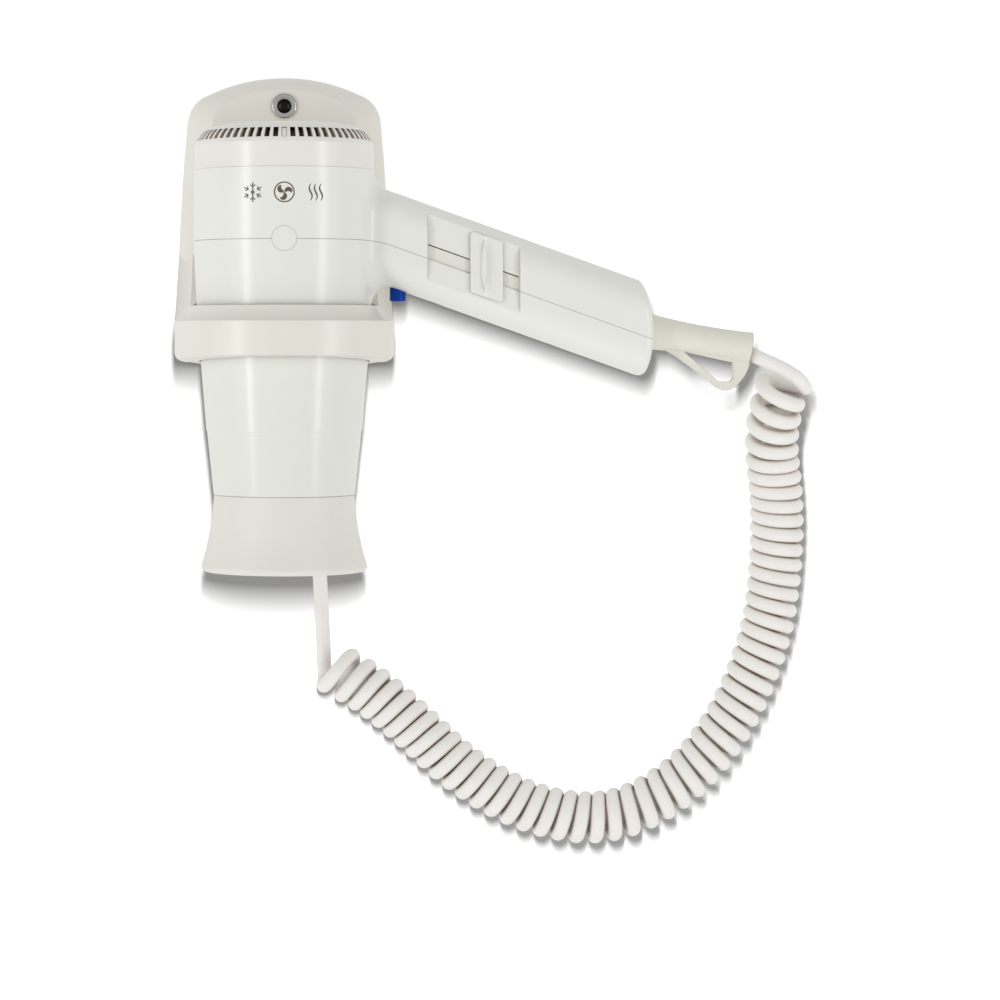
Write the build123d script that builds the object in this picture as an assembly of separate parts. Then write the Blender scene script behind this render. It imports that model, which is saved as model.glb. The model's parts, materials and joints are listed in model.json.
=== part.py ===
from build123d import *
from math import cos, pi, radians, sin, sqrt, tan
import os

# Wall-mounted hair dryer with its holder and curly cord. Millimetres.
# Origin on the wall, behind the middle of the holder. +X right, +Y into the wall, +Z up.

# ---- driving dimensions ----
AXIS_Y = -60.0            # the dryer's upright axis, in front of the wall
WALL = 2.5                # moulded wall of the housings

CAP_TOP, CAP_BOTTOM = 40.3, 19.6
CAP_R = 39.35
SLOTS = 64
SLOT_WIDTH, SLOT_BOTTOM, SLOT_TOP, SLOT_INNER_R = 2.2, 32.4, 36.6, 31.0

BODY_R = 39.87            # widest, just above the seam
BODY_FOOT_R = 38.35
SHOULDER_Z = -55.25       # the underside of the body, which sits on the holder's ledge
SEAM_Z, SEAM_GAP = -11.3, 0.15
PLUG_R = 5.35

BARREL_R = 37.0
CREASE_R, CREASE_Z, CREASE_STEP = 34.3, -94.4, 0.3
BARREL_END_R, BARREL_END_Z = 31.1, -122.6
BARREL_WALL = 2.2
SPIGOT_TOP, SPIGOT_R = -48.0, 35.5
LIP_R, NOZZLE_END_Z = 36.4, -156.4

HANDLE_SLOPE = 19.72      # degrees below level
HANDLE_START = (54.4, AXIS_Y, -13.2)
HANDLE_HEIGHT, HANDLE_DEPTH, HANDLE_CORNER = 39.6, 31.0, 13.0
HANDLE_END_X, HANDLE_END_Z = 161.0, -51.5
HANDLE_END_BULGE = 60.0
SEAM_BELOW_AXIS = 3.0

POCKET_LEFT, POCKET_RIGHT = 61.9, 102.4
POCKET_TILT = 4.5         # degrees, the pocket's floor leans back at its top
POCKET_FLOOR = 13.45      # from the handle's axis to the floor
POCKET_SKIN = 1.6
SLOT_HEIGHT = 5.0
SLIDER_LEFT, SLIDER_RIGHT = 80.7, 94.9
SLIDER_LOW, SLIDER_HIGH = -11.6, 13.8
SCOOP_R, SCOOP_OFFSET, SCOOP_DEPTH = 14.0, 5.2, 0.7
SWITCH_TRAVEL = 11.0
SLOT_SKIN = 0.6             # the pocket's floor is thinner round its slot
STRIP_FRONT = POCKET_FLOOR - SLOT_SKIN - 0.15
STRIP_LOW, STRIP_HIGH = -4.2, 1.65   # a slit of shadow stays open above the strip
STRIP_REACH = 28.5

BUTTON_X, BUTTON_R = 50.0, 3.6
BUTTON_BOTTOM, BUTTON_STOP = -38.3, -28.0
BUTTON_TRAVEL = 2.5
COOL_SWITCH_Z = -22.0

SCREW_PLACES = (66.0, 118.0)   # where the handle's screws stand
CLAMP_X, CLAMP_Z = 144.0, -44.4
CLAMP_SCREW_OFFSETS = (-7.5, 7.5)

RELIEF_START = (161.3, AXIS_Y, -51.2)
RELIEF_SLOPE = 9.6
RELIEF_LENGTH = 44.4

FAN_R, FAN_LOW, FAN_HIGH = 33.4, -8.0, 8.0
FAN_BLADES, VANES = 9, 7
MOTOR_R, MOTOR_LOW, MOTOR_HIGH = 13.85, -42.0, -12.0
SHAFT_R, BUSH_R = 1.15, 2.95

HOLDER_DEPTH, RIM_DEPTH = 16.0, 4.0
RING_HALF_WIDTH = 48.3
RING_BOTTOM, RING_WALL_TOP, RING_CROWN = -61.0, -46.4, -39.7
RING_HOLE_R, LEDGE_R, LEDGE_Z = 40.9, 37.5, -55.5
FLANK_R = 60.0
PLATE_THICKNESS = 3.0
LOCK_Z = 51.5
WALL_HOLE_R, WALL_HOLE_X, WALL_HOLE_TOP, WALL_HOLE_LOW = 2.25, 28.0, 36.0, -40.0
ENTRY_R, ENTRY_Z = 7.0, -32.0
GLAND_X, GLAND_Y, GLAND_TOP = 10.0, -8.0, -59.3
CLAMP_ROW, CLAMP_FRONT = -52.0, -11.2
CLAMP_POSTS = (GLAND_X - 8, GLAND_X + 8)
TERMINALS = (-8.5, 0, 8.5)

CORD_D, COIL_D = 6.2, 23.3

# The cord's route: down from the gland, along the middle of the coil, and from the handle to it.
WALL_LEAD = [(10.4, -8, -91), (13.2, -7.7, -119), (15.4, -7.9, -146), (16.6, -8.3, -170),
             (17.4, -8.9, -181), (17.8, -10.4, -192), (17.6, -12.2, -202), (18.07, -13.9, -208.6),
             (22.9, -14.2, -211.2)]
COIL_ROUTE = [(217.9, -57.7, -79.3), (215.5, -47.5, -99.1), (219.9, -41.5, -126.2),
              (219.8, -37.5, -157.7), (215.6, -35.5, -188.7), (201.8, -33.5, -223.8),
              (180.1, -31.5, -252.8), (147.4, -29.5, -271.0), (112.6, -27.0, -267.4),
              (80.7, -24.0, -250.0), (57.0, -20.5, -227.6), (38.0, -18.3, -212.0),
              (26.0, -17.0, -205.5)]
HANDLE_LEAD = [(203.2, -60, -60), (210.2, -60.4, -63.6), (218.2, -61.1, -68.0),
               (226.65, -60.97, -72.96), (225.8, -57.3, -80.03)]

os.makedirs("parts", exist_ok=True)


# ---- helpers ----
def save(name, shape):
    shape.label = name
    export_step(shape, f"parts/{name}.step")


def group(shapes):
    return Compound(children=list(shapes))


def turned_face(profile):
    """A profile in (radius, height) turned about the dryer's upright axis."""
    return Pos(0, AXIS_Y, 0) * revolve(Plane.XZ * profile, Axis.Z)


def turned(*outline):
    return turned_face(make_face(Polyline(*outline, close=True)))


def ring(outer, inner, low, high):
    return turned((inner, low), (outer, low), (outer, high), (inner, high))


def rod(radius, low, high):
    return ring(radius, 0, low, high)


def upright(x, y, radius, low, high):
    return Pos(x, y, (low + high) / 2) * Cylinder(radius, high - low)


def across(x, z, radius, front, back):
    """A cylinder along Y."""
    return Pos(x, (front + back) / 2, z) * Rot(90, 0, 0) * Cylinder(radius, back - front)


def block(x0, x1, y0, y1, z0, z1):
    return Pos((x0 + x1) / 2, (y0 + y1) / 2, (z0 + z1) / 2) * Box(x1 - x0, y1 - y0, z1 - z0)


def facing_front(y):
    """A plane across the room at one y, with its own x along X and its own y along Z."""
    return Plane((0, y, 0), x_dir=(1, 0, 0), z_dir=(0, -1, 0))


def front_prism(face, front, back):
    """A face drawn in (x, z) as a prism between two depths."""
    return extrude(facing_front(back) * face, back - front)


def around(shape, count, first=0.0):
    """Copies of a shape, evenly spaced about the dryer's axis."""
    return [Pos(0, AXIS_Y, 0) * Rot(0, 0, first + 360 * i / count) * shape for i in range(count)]


# The handle's own frame: x along it, y across it as seen from the front, z towards the front.
SLOPE = radians(HANDLE_SLOPE)
handle = Location(Plane(HANDLE_START, x_dir=(cos(SLOPE), 0, -sin(SLOPE)), z_dir=(0, -1, 0)))
# The pocket's frame: the same place and direction, with z square to the pocket's floor.
pocket = handle * Location((0, 0, 0), (-POCKET_TILT, 0, 0))


def local_block(frame, x0, x1, y0, y1, z0, z1):
    return frame * block(x0, x1, y0, y1, z0, z1)


def along_handle(x, y=0.0):
    """Distance along the handle of the place that is at x and y across the handle."""
    return (x - HANDLE_START[0]) / cos(SLOPE) - y * tan(SLOPE)


def upright_band(left, right, low, high):
    """A parallelogram in the handle's frame whose left and right sides are upright."""
    return make_face(Polyline(
        (along_handle(left, low), low), (along_handle(right, low), low),
        (along_handle(right, high), high), (along_handle(left, high), high), close=True))


def handle_middle(x):
    return HANDLE_START[2] - (x - HANDLE_START[0]) * tan(SLOPE)


def above_seam(drop):
    """Everything above the line between the two shells, with that line lowered by drop."""
    below = SEAM_BELOW_AXIS / cos(SLOPE)
    bend_x = HANDLE_START[0] + (HANDLE_START[2] - below - SEAM_Z) / tan(SLOPE)
    start, bend = (-80, SEAM_Z - drop), (bend_x, SEAM_Z - drop)
    end = (220, handle_middle(220) - below - drop)
    line = FilletPolyline(start, bend, end, radius=45)
    return front_prism(make_face(line + Polyline(end, (220, 90), (-80, 90), start)), -130, 10)


# ---- the housing of the dryer ----
def drum(inset, low=-64, high=46):
    """The body's barrelled drum, without the handle."""
    top, foot = (38.2 - inset, 46), (BODY_FOOT_R - inset, -42)
    side = ThreePointArc(top, (BODY_R - inset, -2), foot)
    rest = Polyline(foot, (BODY_FOOT_R - inset, -64), (0, -64), (0, 46), top)
    return turned_face(make_face(side + rest)) & block(-60, 60, -120, 0, low, high)


def bar(inset, start):
    """The handle as a rounded bar with a bulged end, set in by inset."""
    section = RectangleRounded(HANDLE_HEIGHT - 2 * inset, HANDLE_DEPTH - 2 * inset,
                               HANDLE_CORNER - inset)
    across_bar = Plane((start, 0, 0), x_dir=(0, 1, 0), z_dir=(1, 0, 0))
    long_bar = handle * extrude(across_bar * section, 175)
    centre = HANDLE_END_X - HANDLE_END_BULGE
    bulge = across(centre, HANDLE_END_Z, HANDLE_END_BULGE - 1.2 * inset, -90, -30)
    return long_bar & (bulge + block(-60, centre, -90, -30, -100, 60))


def outer_housing():
    """Body and handle as one solid, with the handle's root and end rounded."""
    grip = bar(0, -38)
    grip = fillet(grip.faces().sort_by(Axis.X)[-1].edges(), 3.2)
    whole = drum(0) + grip
    root = [edge for edge in whole.edges().filter_by(GeomType.BSPLINE)
            if 20 < edge.center().X < 42]
    return fillet(root, 7.5)


def housing_void():
    """The hollow inside body and handle, flat behind the thumb pocket."""
    skin = local_block(pocket, -200, 200, -50, 50, -60, POCKET_FLOOR - POCKET_SKIN)
    return drum(WALL) + (bar(WALL, -20) & skin)


def pocket_flat():
    band = upright_band(POCKET_LEFT, POCKET_RIGHT, -30, 30)
    return extrude(pocket * Location((0, 0, POCKET_FLOOR)) * band, 12)


def pocket_slot():
    band = upright_band(POCKET_LEFT + 0.5, POCKET_RIGHT - 0.5, -SEAM_BELOW_AXIS - 1,
                        SLOT_HEIGHT - SEAM_BELOW_AXIS)
    return extrude(pocket * band, 20)


def strip_room():
    """The shallow bed behind the slot in which the dust strip travels."""
    middle = along_handle((SLIDER_LEFT + SLIDER_RIGHT) / 2)
    return pocket * block(middle - STRIP_REACH - SWITCH_TRAVEL - 0.5, middle + STRIP_REACH + 0.5,
                          STRIP_LOW - 0.3, STRIP_HIGH + 0.8,
                          POCKET_FLOOR - POCKET_SKIN - 0.5, POCKET_FLOOR - SLOT_SKIN)


def seam_plug_hole(clearance):
    return across(0, SEAM_Z, PLUG_R + clearance, -110, -90)


def relief_hole():
    return relief_frame * Location((-8, 0, 0), (0, 90, 0)) * Cylinder(7.9, 30)


def housing_limit():
    """Inside this, ribs and bosses join the wall without showing outside it."""
    return drum(1.2) + bar(1.2, -38)


def screw_boss(x, low, high):
    return upright(x, AXIS_Y, 4.4, low, high)


def upper_shell(whole, void):
    shell = (whole - void) & block(-70, 200, -120, 0, -90, CAP_BOTTOM)
    bosses = Part() + [screw_boss(x, handle_middle(x) - 8, handle_middle(x) + 24)
                       for x in SCREW_PLACES]
    shell = shell + (bosses & housing_limit())
    shell = shell - pocket_flat() - pocket_slot() - strip_room()
    shell = shell - seam_plug_hole(0.1) - relief_hole()
    holes = [upright(x, AXIS_Y, 1.35, -70, handle_middle(x) + 8) for x in SCREW_PLACES]
    return (shell - holes) & above_seam(0)


def lower_shell(whole, void):
    shell = (whole - void) - block(-45, 45, -110, 0, -100, SHOULDER_Z)
    bosses = Part() + [screw_boss(x, handle_middle(x) - 26, handle_middle(x))
                       for x in SCREW_PLACES]
    shell = (shell + (bosses & housing_limit())) - above_seam(SEAM_GAP)
    posts = [upright(BUTTON_X, AXIS_Y, 6.5, -40, BUTTON_STOP)]
    posts += [block(44.5, 55.5, AXIS_Y + side - 1, AXIS_Y + side + 1, -36, -14)
              for side in (-6.6, 6.6)]
    posts += [upright(CLAMP_X, AXIS_Y + side, 3.2, -70, CLAMP_Z)
              for side in CLAMP_SCREW_OFFSETS]
    shell = shell + ((Part() + posts) & housing_limit())
    cuts = [upright(x, AXIS_Y, 1.7, -70, 20) for x in SCREW_PLACES]
    cuts += [upright(x, AXIS_Y, 3.3, -90, handle_middle(x) - 14) for x in SCREW_PLACES]
    cuts += [upright(BUTTON_X, AXIS_Y, BUTTON_R + 0.08, -50, -20)]
    cuts += [upright(CLAMP_X, AXIS_Y + side, 1.3, -56, -40) for side in CLAMP_SCREW_OFFSETS]
    return shell - pocket_flat() - strip_room() - seam_plug_hole(0.1) - relief_hole() - cuts


def seam_plug():
    return seam_plug_hole(0) & (drum(-0.12) - drum(WALL))


def housing_screws():
    screws = []
    for x in SCREW_PLACES:
        seat = handle_middle(x) - 14
        head = upright(x, AXIS_Y, 2.8, seat - 1.9, seat)
        drive = Pos(x, AXIS_Y, seat - 1.7) * (Box(3.2, 0.7, 1.2) + Box(0.7, 3.2, 1.2))
        screws.append(head + upright(x, AXIS_Y, 1.3, seat, seat + 20) - drive)
    return group(screws)


# ---- intake ----
def cap_skin(inset):
    """Everything inside the cap's outer surface, set in by inset."""
    side = Line((CAP_R - inset, CAP_BOTTOM), (CAP_R - inset, 30.5))
    shoulder = ThreePointArc((CAP_R - inset, 30.5), (36.7 - inset * 0.85, 35.3 - inset * 0.5),
                             (31.3 - inset * 0.6, 38.7 - inset * 0.85))
    crown = ThreePointArc((31.3 - inset * 0.6, 38.7 - inset * 0.85),
                          (26.6 - inset * 0.3, 39.8 - inset), (18, CAP_TOP - inset))
    rest = Polyline((18, CAP_TOP - inset), (0, CAP_TOP - inset), (0, CAP_BOTTOM),
                    (CAP_R - inset, CAP_BOTTOM))
    return turned_face(make_face(side + shoulder + crown + rest))


def intake_cap():
    shell = cap_skin(0) - cap_skin(2.2)
    spigot = ring(36.9, 35.2, CAP_BOTTOM - 3, CAP_BOTTOM + 4)
    spigot = spigot + ring(37.6, 36.0, CAP_BOTTOM, CAP_BOTTOM + 4)
    slot = block(SLOT_INNER_R, 45, -SLOT_WIDTH / 2, SLOT_WIDTH / 2, SLOT_BOTTOM, SLOT_TOP)
    return (shell + spigot) - around(slot, SLOTS, -90)


def latch_space(clearance):
    half = SLOT_WIDTH / 2 - 0.1 + clearance
    return block(-half, half, AXIS_Y - 40, AXIS_Y - 34.8, SLOT_BOTTOM + 0.1 - clearance, 36.4)


def filter_latch():
    return latch_space(0) & cap_skin(0.35)


def intake_filter():
    """The foam dome that lies just behind the slots."""
    return (cap_skin(2.7) - cap_skin(6.7) - block(-50, 50, -120, 0, 0, 24.2)
            - latch_space(0.2))


def spider(rings, spokes, hub_r, rim_r, low, high, bar_width):
    """A flat grille of rings and spokes about the dryer's axis."""
    shape = rod(hub_r, low, high)
    for radius in rings:
        shape = shape + ring(radius + bar_width / 2, radius - bar_width / 2, low, high)
    spoke = block(hub_r / 2, rim_r - 0.4, -bar_width / 2, bar_width / 2, low, high)
    return shape + around(spoke, spokes)


def filter_grille():
    return spider((11, 19, 27, 34.3), 8, 4, 34.3, 22.4, 24.0, 1.6)


# ---- motor and fan ----
def motor_can():
    wall = ring(MOTOR_R, MOTOR_R - 0.9, MOTOR_LOW, MOTOR_HIGH)
    return wall + ring(MOTOR_R - 0.5, 3.05, MOTOR_HIGH - 1.2, MOTOR_HIGH)


def motor_end_cap():
    return ring(MOTOR_R - 1.0, 3.05, MOTOR_LOW + 0.2, MOTOR_LOW + 1.8)


def motor_bushes():
    places = ((MOTOR_LOW, MOTOR_LOW + 2.6), (MOTOR_HIGH - 2.4, MOTOR_HIGH + 0.4))
    return group(ring(BUSH_R, SHAFT_R + 0.05, low, high) for low, high in places)


def motor_magnets():
    sleeve = ring(12.85, 10.7, -35, -18)
    gaps = block(-14, 14, AXIS_Y - 4, AXIS_Y + 4, -36, -17)
    return group((sleeve - gaps).solids())


def motor_armature():
    core = ring(10.0, SHAFT_R + 0.02, -35, -18)
    return core - around(block(3.6, 12, -2.6, 2.6, -36, -17), 3, 30)


def motor_windings():
    coil = block(3.7, 9.0, -2.4, 2.4, -36.4, -16.6)
    return group(around(coil, 3, 30))


def commutator():
    return ring(3.3, SHAFT_R + 0.02, -39.2, -36.6)


def motor_brushes():
    brush = block(3.4, 7.5, -1.2, 1.2, -39.0, -37.0)
    return group(around(brush, 2))


def motor_shaft():
    return rod(SHAFT_R, MOTOR_LOW - 1.5, FAN_HIGH - 1.0)


def fan_impeller():
    hub = ring(12.5, 11.0, FAN_LOW, FAN_HIGH) + ring(12.0, SHAFT_R + 0.02, FAN_HIGH - 2, FAN_HIGH)
    hub = hub + ring(3.2, SHAFT_R + 0.02, FAN_LOW + 2, FAN_HIGH - 1)
    blade = Pos(23, 0, 0) * Rot(-42, 0, 0) * Box(23, 1.3, 26)
    swept = Part() + around(blade, FAN_BLADES)
    return hub + (swept & ring(FAN_R, 11.8, FAN_LOW, FAN_HIGH))


def fan_duct():
    wall = ring(35.5, 34.0, -46, 9) + ring(36.9, 35.0, 7, 9)
    cup = ring(15.6, MOTOR_R + 0.1, MOTOR_LOW + 2, MOTOR_HIGH - 8)
    vane = Pos(24.8, 0, -30) * Rot(24, 0, 0) * Box(19.4, 1.4, 40)
    vanes = (Part() + around(vane, VANES)) & ring(34.5, 15.0, MOTOR_LOW + 2, MOTOR_HIGH - 6)
    return wall + cup + vanes


def rectifier_board():
    return ring(12.0, 2.5, -48.0, -46.6)


def rectifier_diodes():
    return group(around(block(5.5, 10.0, -1.6, 1.6, -51.0, -48.0), 4, 45))


# ---- barrel, heater and nozzle ----
def barrel():
    inner = [(BARREL_END_R - BARREL_WALL, BARREL_END_Z), (CREASE_R - BARREL_WALL, CREASE_Z),
             (BARREL_R - 0.2 - BARREL_WALL, -63.6), (SPIGOT_R - 1.8, -57), (SPIGOT_R - 1.8, SPIGOT_TOP)]
    outer = [(SPIGOT_R, SPIGOT_TOP), (SPIGOT_R, SHOULDER_Z), (BARREL_R, SHOULDER_Z),
             (BARREL_R, -58), (BARREL_R - 0.2, -63.6), (CREASE_R, CREASE_Z),
             (CREASE_R - CREASE_STEP, CREASE_Z - CREASE_STEP),
             (BARREL_END_R, BARREL_END_Z)]
    return turned(*inner, *outer)


def nozzle():
    top = BARREL_END_Z - 0.15
    flare = ThreePointArc((31.5, -129.6), (33.3, -141.5), (LIP_R, -153.4))
    lip = ThreePointArc((LIP_R, -153.4), (36.0, -155.6), (34.2, NOZZLE_END_Z))
    inner_flare = ThreePointArc((33.6, -154.9), (31.1, -141.8), (29.4, -130))
    mouth = Line((34.2, NOZZLE_END_Z), (33.6, -154.9))
    neck = Polyline((29.4, -130), (26.9, -125), (26.9, -114.2), (28.75, -114.2), (28.75, top),
                    (30.85, top), (31.5, -129.6))
    return turned_face(make_face(flare + lip + mouth + inner_flare + neck))


def outlet_grille():
    return spider((9, 15.5, 22, 28.6), 8, 3.5, 28.6, -114.2, -111.6, 1.4)


def heat_tube():
    return ring(29.6, 29.0, -109, -64)


def heater_former():
    plate = block(-28.6, 28.6, AXIS_Y - 0.4, AXIS_Y + 0.4, -107, -65)
    cross = plate + block(-0.4, 0.4, AXIS_Y - 28.6, AXIS_Y + 28.6, -107, -65)
    notches = [ring(40, 25.0, z - 1.2, z + 1.2) for z in coil_heights()]
    return cross - notches


def coil_heights():
    return [-69 - 6 * i for i in range(7)]


def heater_coils():
    return group(Pos(0, AXIS_Y, z) * Torus(26.2, 0.9) for z in coil_heights())


def thermostat():
    return across(9, -76, 5, AXIS_Y - 4.6, AXIS_Y - 0.5) + block(2, 16, AXIS_Y - 1.4, AXIS_Y - 0.5,
                                                                -77.5, -74.5)


def thermal_fuse():
    return upright(-8, AXIS_Y - 2.8, 2.0, -92, -82) + upright(-8, AXIS_Y - 2.8, 0.5, -97, -77)


# ---- handle: switch, button, cord clamp ----
def switch_slider():
    """Thumb plate scooped beside its upright rib, and the neck that reaches through the slot."""
    back = POCKET_FLOOR + 0.15
    band = upright_band(SLIDER_LEFT, SLIDER_RIGHT, SLIDER_LOW, SLIDER_HIGH)
    plate = extrude(Location((0, 0, back)) * band, 1.7)
    plate = fillet(plate.edges().filter_by(Axis.Z), 1.6)
    plate = fillet(plate.faces().sort_by(Axis.Z)[-1].edges(), 0.8)
    middle = (SLIDER_LEFT + SLIDER_RIGHT) / 2
    foot = Location((along_handle(middle - 1.1, 1.1), 1.1, back + 1.5), (0, 0, HANDLE_SLOPE))
    rib = loft([foot * leaf(11.4, 1.5), foot * Location((0, 0, 1.5)) * leaf(10.2, 0.7)])
    scoop = Pos(SCOOP_OFFSET, 0, SCOOP_R - SCOOP_DEPTH) * Rot(90, 0, 0) * Cylinder(SCOOP_R, 60)
    neck = block(along_handle(middle) - 6, along_handle(middle) + 6, -2.6, 1.5, STRIP_FRONT, back + 0.2)
    return pocket * (plate - foot * scoop + rib + neck)


def leaf(reach, swell):
    """A face between two arcs that meet in a point at each end."""
    low, high = (0, -reach), (0, reach)
    return make_face(ThreePointArc(low, (swell, 0), high) + ThreePointArc(high, (-swell, 0), low))


def slider_strip():
    """The dust strip that covers the slot from inside, with the tang that moves the switch."""
    middle = along_handle((SLIDER_LEFT + SLIDER_RIGHT) / 2)
    strip = block(middle - STRIP_REACH, middle + STRIP_REACH, STRIP_LOW, STRIP_HIGH,
                  STRIP_FRONT - 1.1, STRIP_FRONT)
    tang = block(middle - 2.4, middle + 2.4, -2, 1, STRIP_FRONT - 3.2, STRIP_FRONT - 0.6)
    return pocket * (strip + tang)


def switch_block():
    middle = along_handle((SLIDER_LEFT + SLIDER_RIGHT) / 2)
    body = block(middle - 15, middle + 9, -9, 7, -3, STRIP_FRONT - 1.2)
    groove = block(middle - SWITCH_TRAVEL - 3.4, middle + 3.4, -2.6, 1.6, STRIP_FRONT - 3.8, 20)
    return pocket * (body - groove)


def cool_button():
    stem = upright(BUTTON_X, AXIS_Y, BUTTON_R, BUTTON_BOTTOM, BUTTON_STOP + 1)
    dome = Pos(BUTTON_X, AXIS_Y, BUTTON_BOTTOM + 9) * Sphere(9)
    stem = fillet((stem & (dome + block(40, 60, -70, -50, BUTTON_BOTTOM + 4, 0))).faces()
                  .sort_by(Axis.Z)[0].edges(), 0.5)
    return stem + upright(BUTTON_X, AXIS_Y, 4.9, BUTTON_STOP + 0.05, BUTTON_STOP + 1.2)


def cool_switch():
    body = block(44.6, 55.4, AXIS_Y - 5.5, AXIS_Y + 5.5, COOL_SWITCH_Z, COOL_SWITCH_Z + 8)
    return body + upright(BUTTON_X, AXIS_Y, 1.5, COOL_SWITCH_Z - 2, COOL_SWITCH_Z + 1)


def button_spring():
    return group(Pos(BUTTON_X, AXIS_Y, BUTTON_STOP + 1.65 + 1.15 * i) * Torus(3.4, 0.3)
                 for i in range(4))


def interference_capacitor():
    return local_block(handle, 50.5, 60, -4, 8, -8, 4)


def cord_clamp():
    bar_part = block(CLAMP_X - 3, CLAMP_X + 3, AXIS_Y - 10.8, AXIS_Y + 10.8, CLAMP_Z, CLAMP_Z + 2.8)
    return bar_part - [upright(CLAMP_X, AXIS_Y + side, 1.5, CLAMP_Z - 1, CLAMP_Z + 4)
                       for side in CLAMP_SCREW_OFFSETS]


def clamp_screws():
    return group(upright(CLAMP_X, AXIS_Y + side, 2.6, CLAMP_Z + 2.8, CLAMP_Z + 4.6)
                 + upright(CLAMP_X, AXIS_Y + side, 1.25, CLAMP_Z - 7, CLAMP_Z + 3)
                 for side in CLAMP_SCREW_OFFSETS)


def bent_tube(points, radii, diameter):
    path = FilletPolyline(*points, radius=radii) if len(points) > 2 else Line(*points)
    return sweep(Plane(path @ 0, z_dir=path % 0) * Circle(diameter / 2), path=path)


def handle_wires():
    """The three conductors from the cord's end to the switch."""
    wires = []
    for i in range(3):
        lift = 2.4 * (i - 1)
        points = [(134.4, AXIS_Y - 1.5, -47.6 + lift), (126, AXIS_Y - 7.5, -44 + lift),
                  (112, AXIS_Y - 8.5, -38.2 + lift), (103, AXIS_Y - 6, -34.5 + lift)]
        wires.append(bent_tube(points, [6, 8], 1.9))
    return group(wires)


# ---- strain relief ----
RELIEF = radians(RELIEF_SLOPE)
relief_frame = Location(Plane(RELIEF_START, x_dir=(cos(RELIEF), 0, -sin(RELIEF)),
                              z_dir=(0, -1, 0)))


def strain_relief():
    """The soft sleeve on the cord at the end of the handle, with its hanging loop."""
    collar = Polyline((0, 7.75), (-6.2, 7.75), (-6.2, 9.2), (-9.8, 9.2), (-9.8, 6.4),
                      (-12, 6.4), (-12, 0), (RELIEF_LENGTH, 0), (RELIEF_LENGTH, 7.2))
    sleeve = Spline((RELIEF_LENGTH, 7.2), (34, 6.7), (15, 6.75), (0, 7.75))
    profile = make_face(collar + sleeve)
    body = relief_frame * revolve(profile, Axis.X)
    outer = Spline((166, -58.5), (177.8, -66.0), (187.2, -73.2), (194, -77.0), (200.2, -73.2),
                   (204.4, -64.5))
    back = Polyline((204.4, -64.5), (203.5, -58), (168, -53), (166, -58.5))
    band = front_prism(make_face(outer + back), AXIS_Y - 3.1, AXIS_Y + 3.1)
    return (body + band) - front_prism(loop_hole(), AXIS_Y - 9, AXIS_Y + 9)


def loop_hole():
    hole = make_face(Polyline((175.5, -59.9), (197.4, -64.7), (197.4, -73.2), (190.6, -73.0),
                              close=True))
    low = hole.vertices().sort_by(Axis.Y)[:2]
    return fillet(low, 2.4)


def cord_tail_handle():
    return relief_frame * Location((-19, 0, 0), (0, 90, 0)) * Cylinder(CORD_D / 2, 14)


# ---- holder ----
def holder_outline(side, apex, shoulder, low):
    """The holder's front outline in (x, z), drawn in at its sides, top, shoulders and foot."""
    right = [(34.7 - side, 57.2 - shoulder), (41.2 - side, 52.4 - shoulder),
             (43.9 - side, 46.0 - shoulder), (46.6 - side, 12), (48.3 - side, -27),
             (48.3 - side, -60.8 + low), (46.8 - side, -63.0 + low), (42 - side, -64.5 + low)]
    left = [(-x, z) for x, z in right]
    top = ThreePointArc(left[0], (0, 65.1 - apex), right[0])
    foot = ThreePointArc(right[7], (0, -68 + low), left[7])
    edges = [top, foot]
    for p in (right, left):
        edges += [ThreePointArc(p[0], p[1], p[2]), ThreePointArc(p[2], p[3], p[4]),
                  Line(p[4], p[5]), ThreePointArc(p[5], p[6], p[7])]
    return make_face(edges)


def at_depth(face, depth):
    return facing_front(-depth) * face


def tapered(rim, *steps):
    """A prism with an outline at the wall and smaller ones at the depths of its steps."""
    straight = extrude(at_depth(holder_outline(*rim), 0), RIM_DEPTH)
    return straight + loft([at_depth(holder_outline(*rim), RIM_DEPTH)]
                           + [at_depth(holder_outline(*front), depth) for front, depth in steps])


def ring_socket():
    """The forward ring that carries the dryer, with its flanks running up to the wall."""
    w = RING_HALF_WIDTH
    plan = make_face(Polyline((-w, AXIS_Y), (-w, 0), (w, 0), (w, AXIS_Y))
                     + ThreePointArc((w, AXIS_Y), (0, AXIS_Y - w), (-w, AXIS_Y)))
    column = extrude(Pos(0, 0, -72) * plan, 100)
    top = RING_CROWN + FLANK_R
    reach = FLANK_R * sqrt(0.5)
    flank = ThreePointArc((0, top), (AXIS_Y + reach, top - reach), (AXIS_Y, RING_CROWN))
    rest = Polyline((AXIS_Y, RING_CROWN), (-112, RING_CROWN), (-112, RING_BOTTOM), (0, -68), (0, top))
    side = extrude(Plane(origin=(-60, 0, 0), x_dir=(0, 1, 0), z_dir=(1, 0, 0))
                   * make_face(flank + rest), 120)
    front = front_prism(holder_outline(0, 0, 0, 0), -112, 0)
    return (column & side & front) - crown_cove()


def crown_cove():
    """What is scooped off outside the ring's crown, and off the flanks that carry it on."""
    w, inner = RING_HALF_WIDTH, RING_HOLE_R + 0.8
    scoop = ThreePointArc((inner, RING_CROWN), (44.2, -43.7), (w, RING_WALL_TOP))
    rest = Polyline((w, RING_WALL_TOP), (w + 6, RING_WALL_TOP), (w + 6, RING_CROWN + 2),
                    (inner, RING_CROWN + 2), (inner, RING_CROWN))
    face = Plane.XZ * make_face(scoop + rest)
    front = Pos(0, AXIS_Y, 0) * revolve(face, Axis.Z, -180)
    hinge = Axis((0, AXIS_Y, RING_CROWN + FLANK_R), (1, 0, 0))
    side = revolve(Pos(0, AXIS_Y, 0) * face, hinge, 90)
    return front + side + mirror(side, Plane.YZ)


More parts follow.
